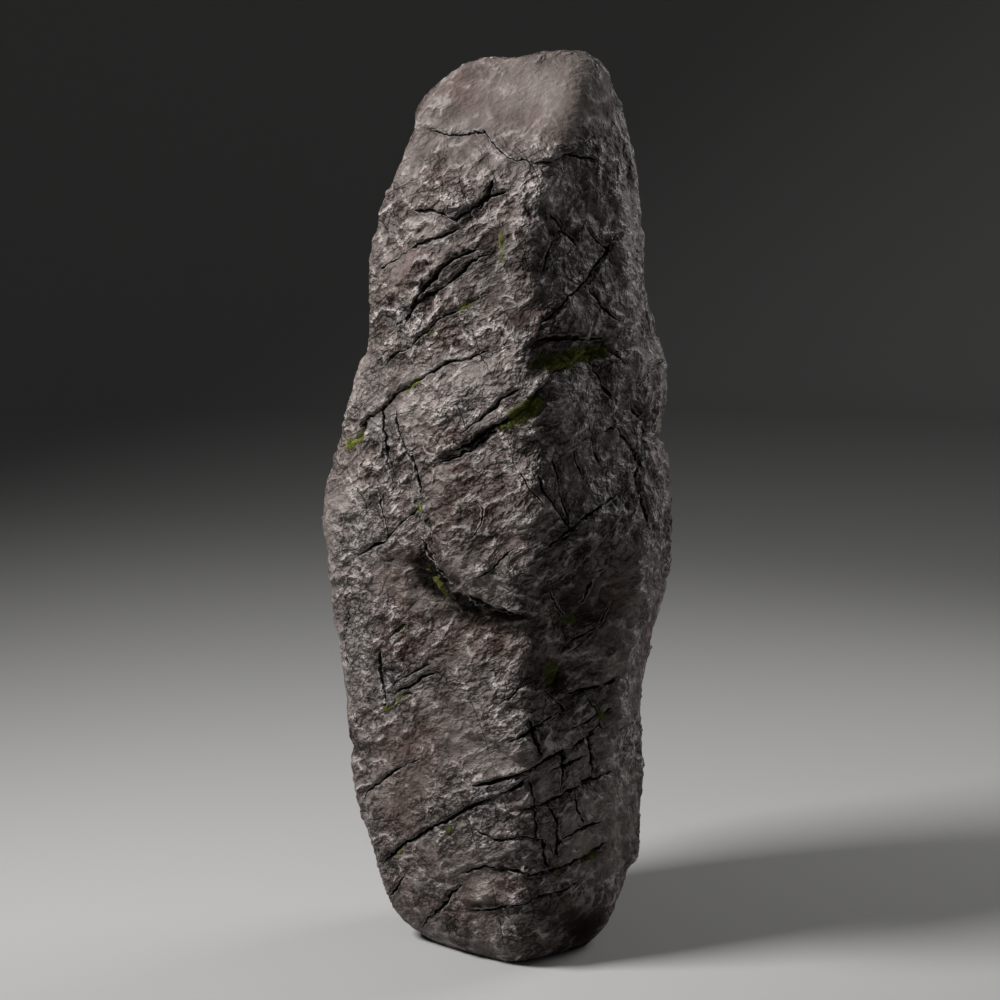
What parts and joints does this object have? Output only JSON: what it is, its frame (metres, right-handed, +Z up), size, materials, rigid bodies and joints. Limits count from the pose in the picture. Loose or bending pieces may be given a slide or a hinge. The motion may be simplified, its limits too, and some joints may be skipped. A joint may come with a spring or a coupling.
{
  "type": "standing stone",
  "caption": "A tall, weathered standing stone: one upright block of jointed rock with a leaning crown facet, ledges and cracks, that stands on a flat foot.",
  "frame": {"origin": "the middle of the flat foot, at the height of the ground", "axes": "+Z up along the stone's length; -Y out of its front, the arris with the chin; +X to the right of someone who faces the front"},
  "size_m": [0.7869, 0.6899, 2.0002],
  "materials": {
    "weathered_rock": "grey-brown quartzite, broken along beds and joints, weathered matt with worn edges that glint, and olive moss in the deepest cracks"
  },
  "bodies": {
    "root": {"stone": "weathered_rock"}
  },
  "joints": []
}
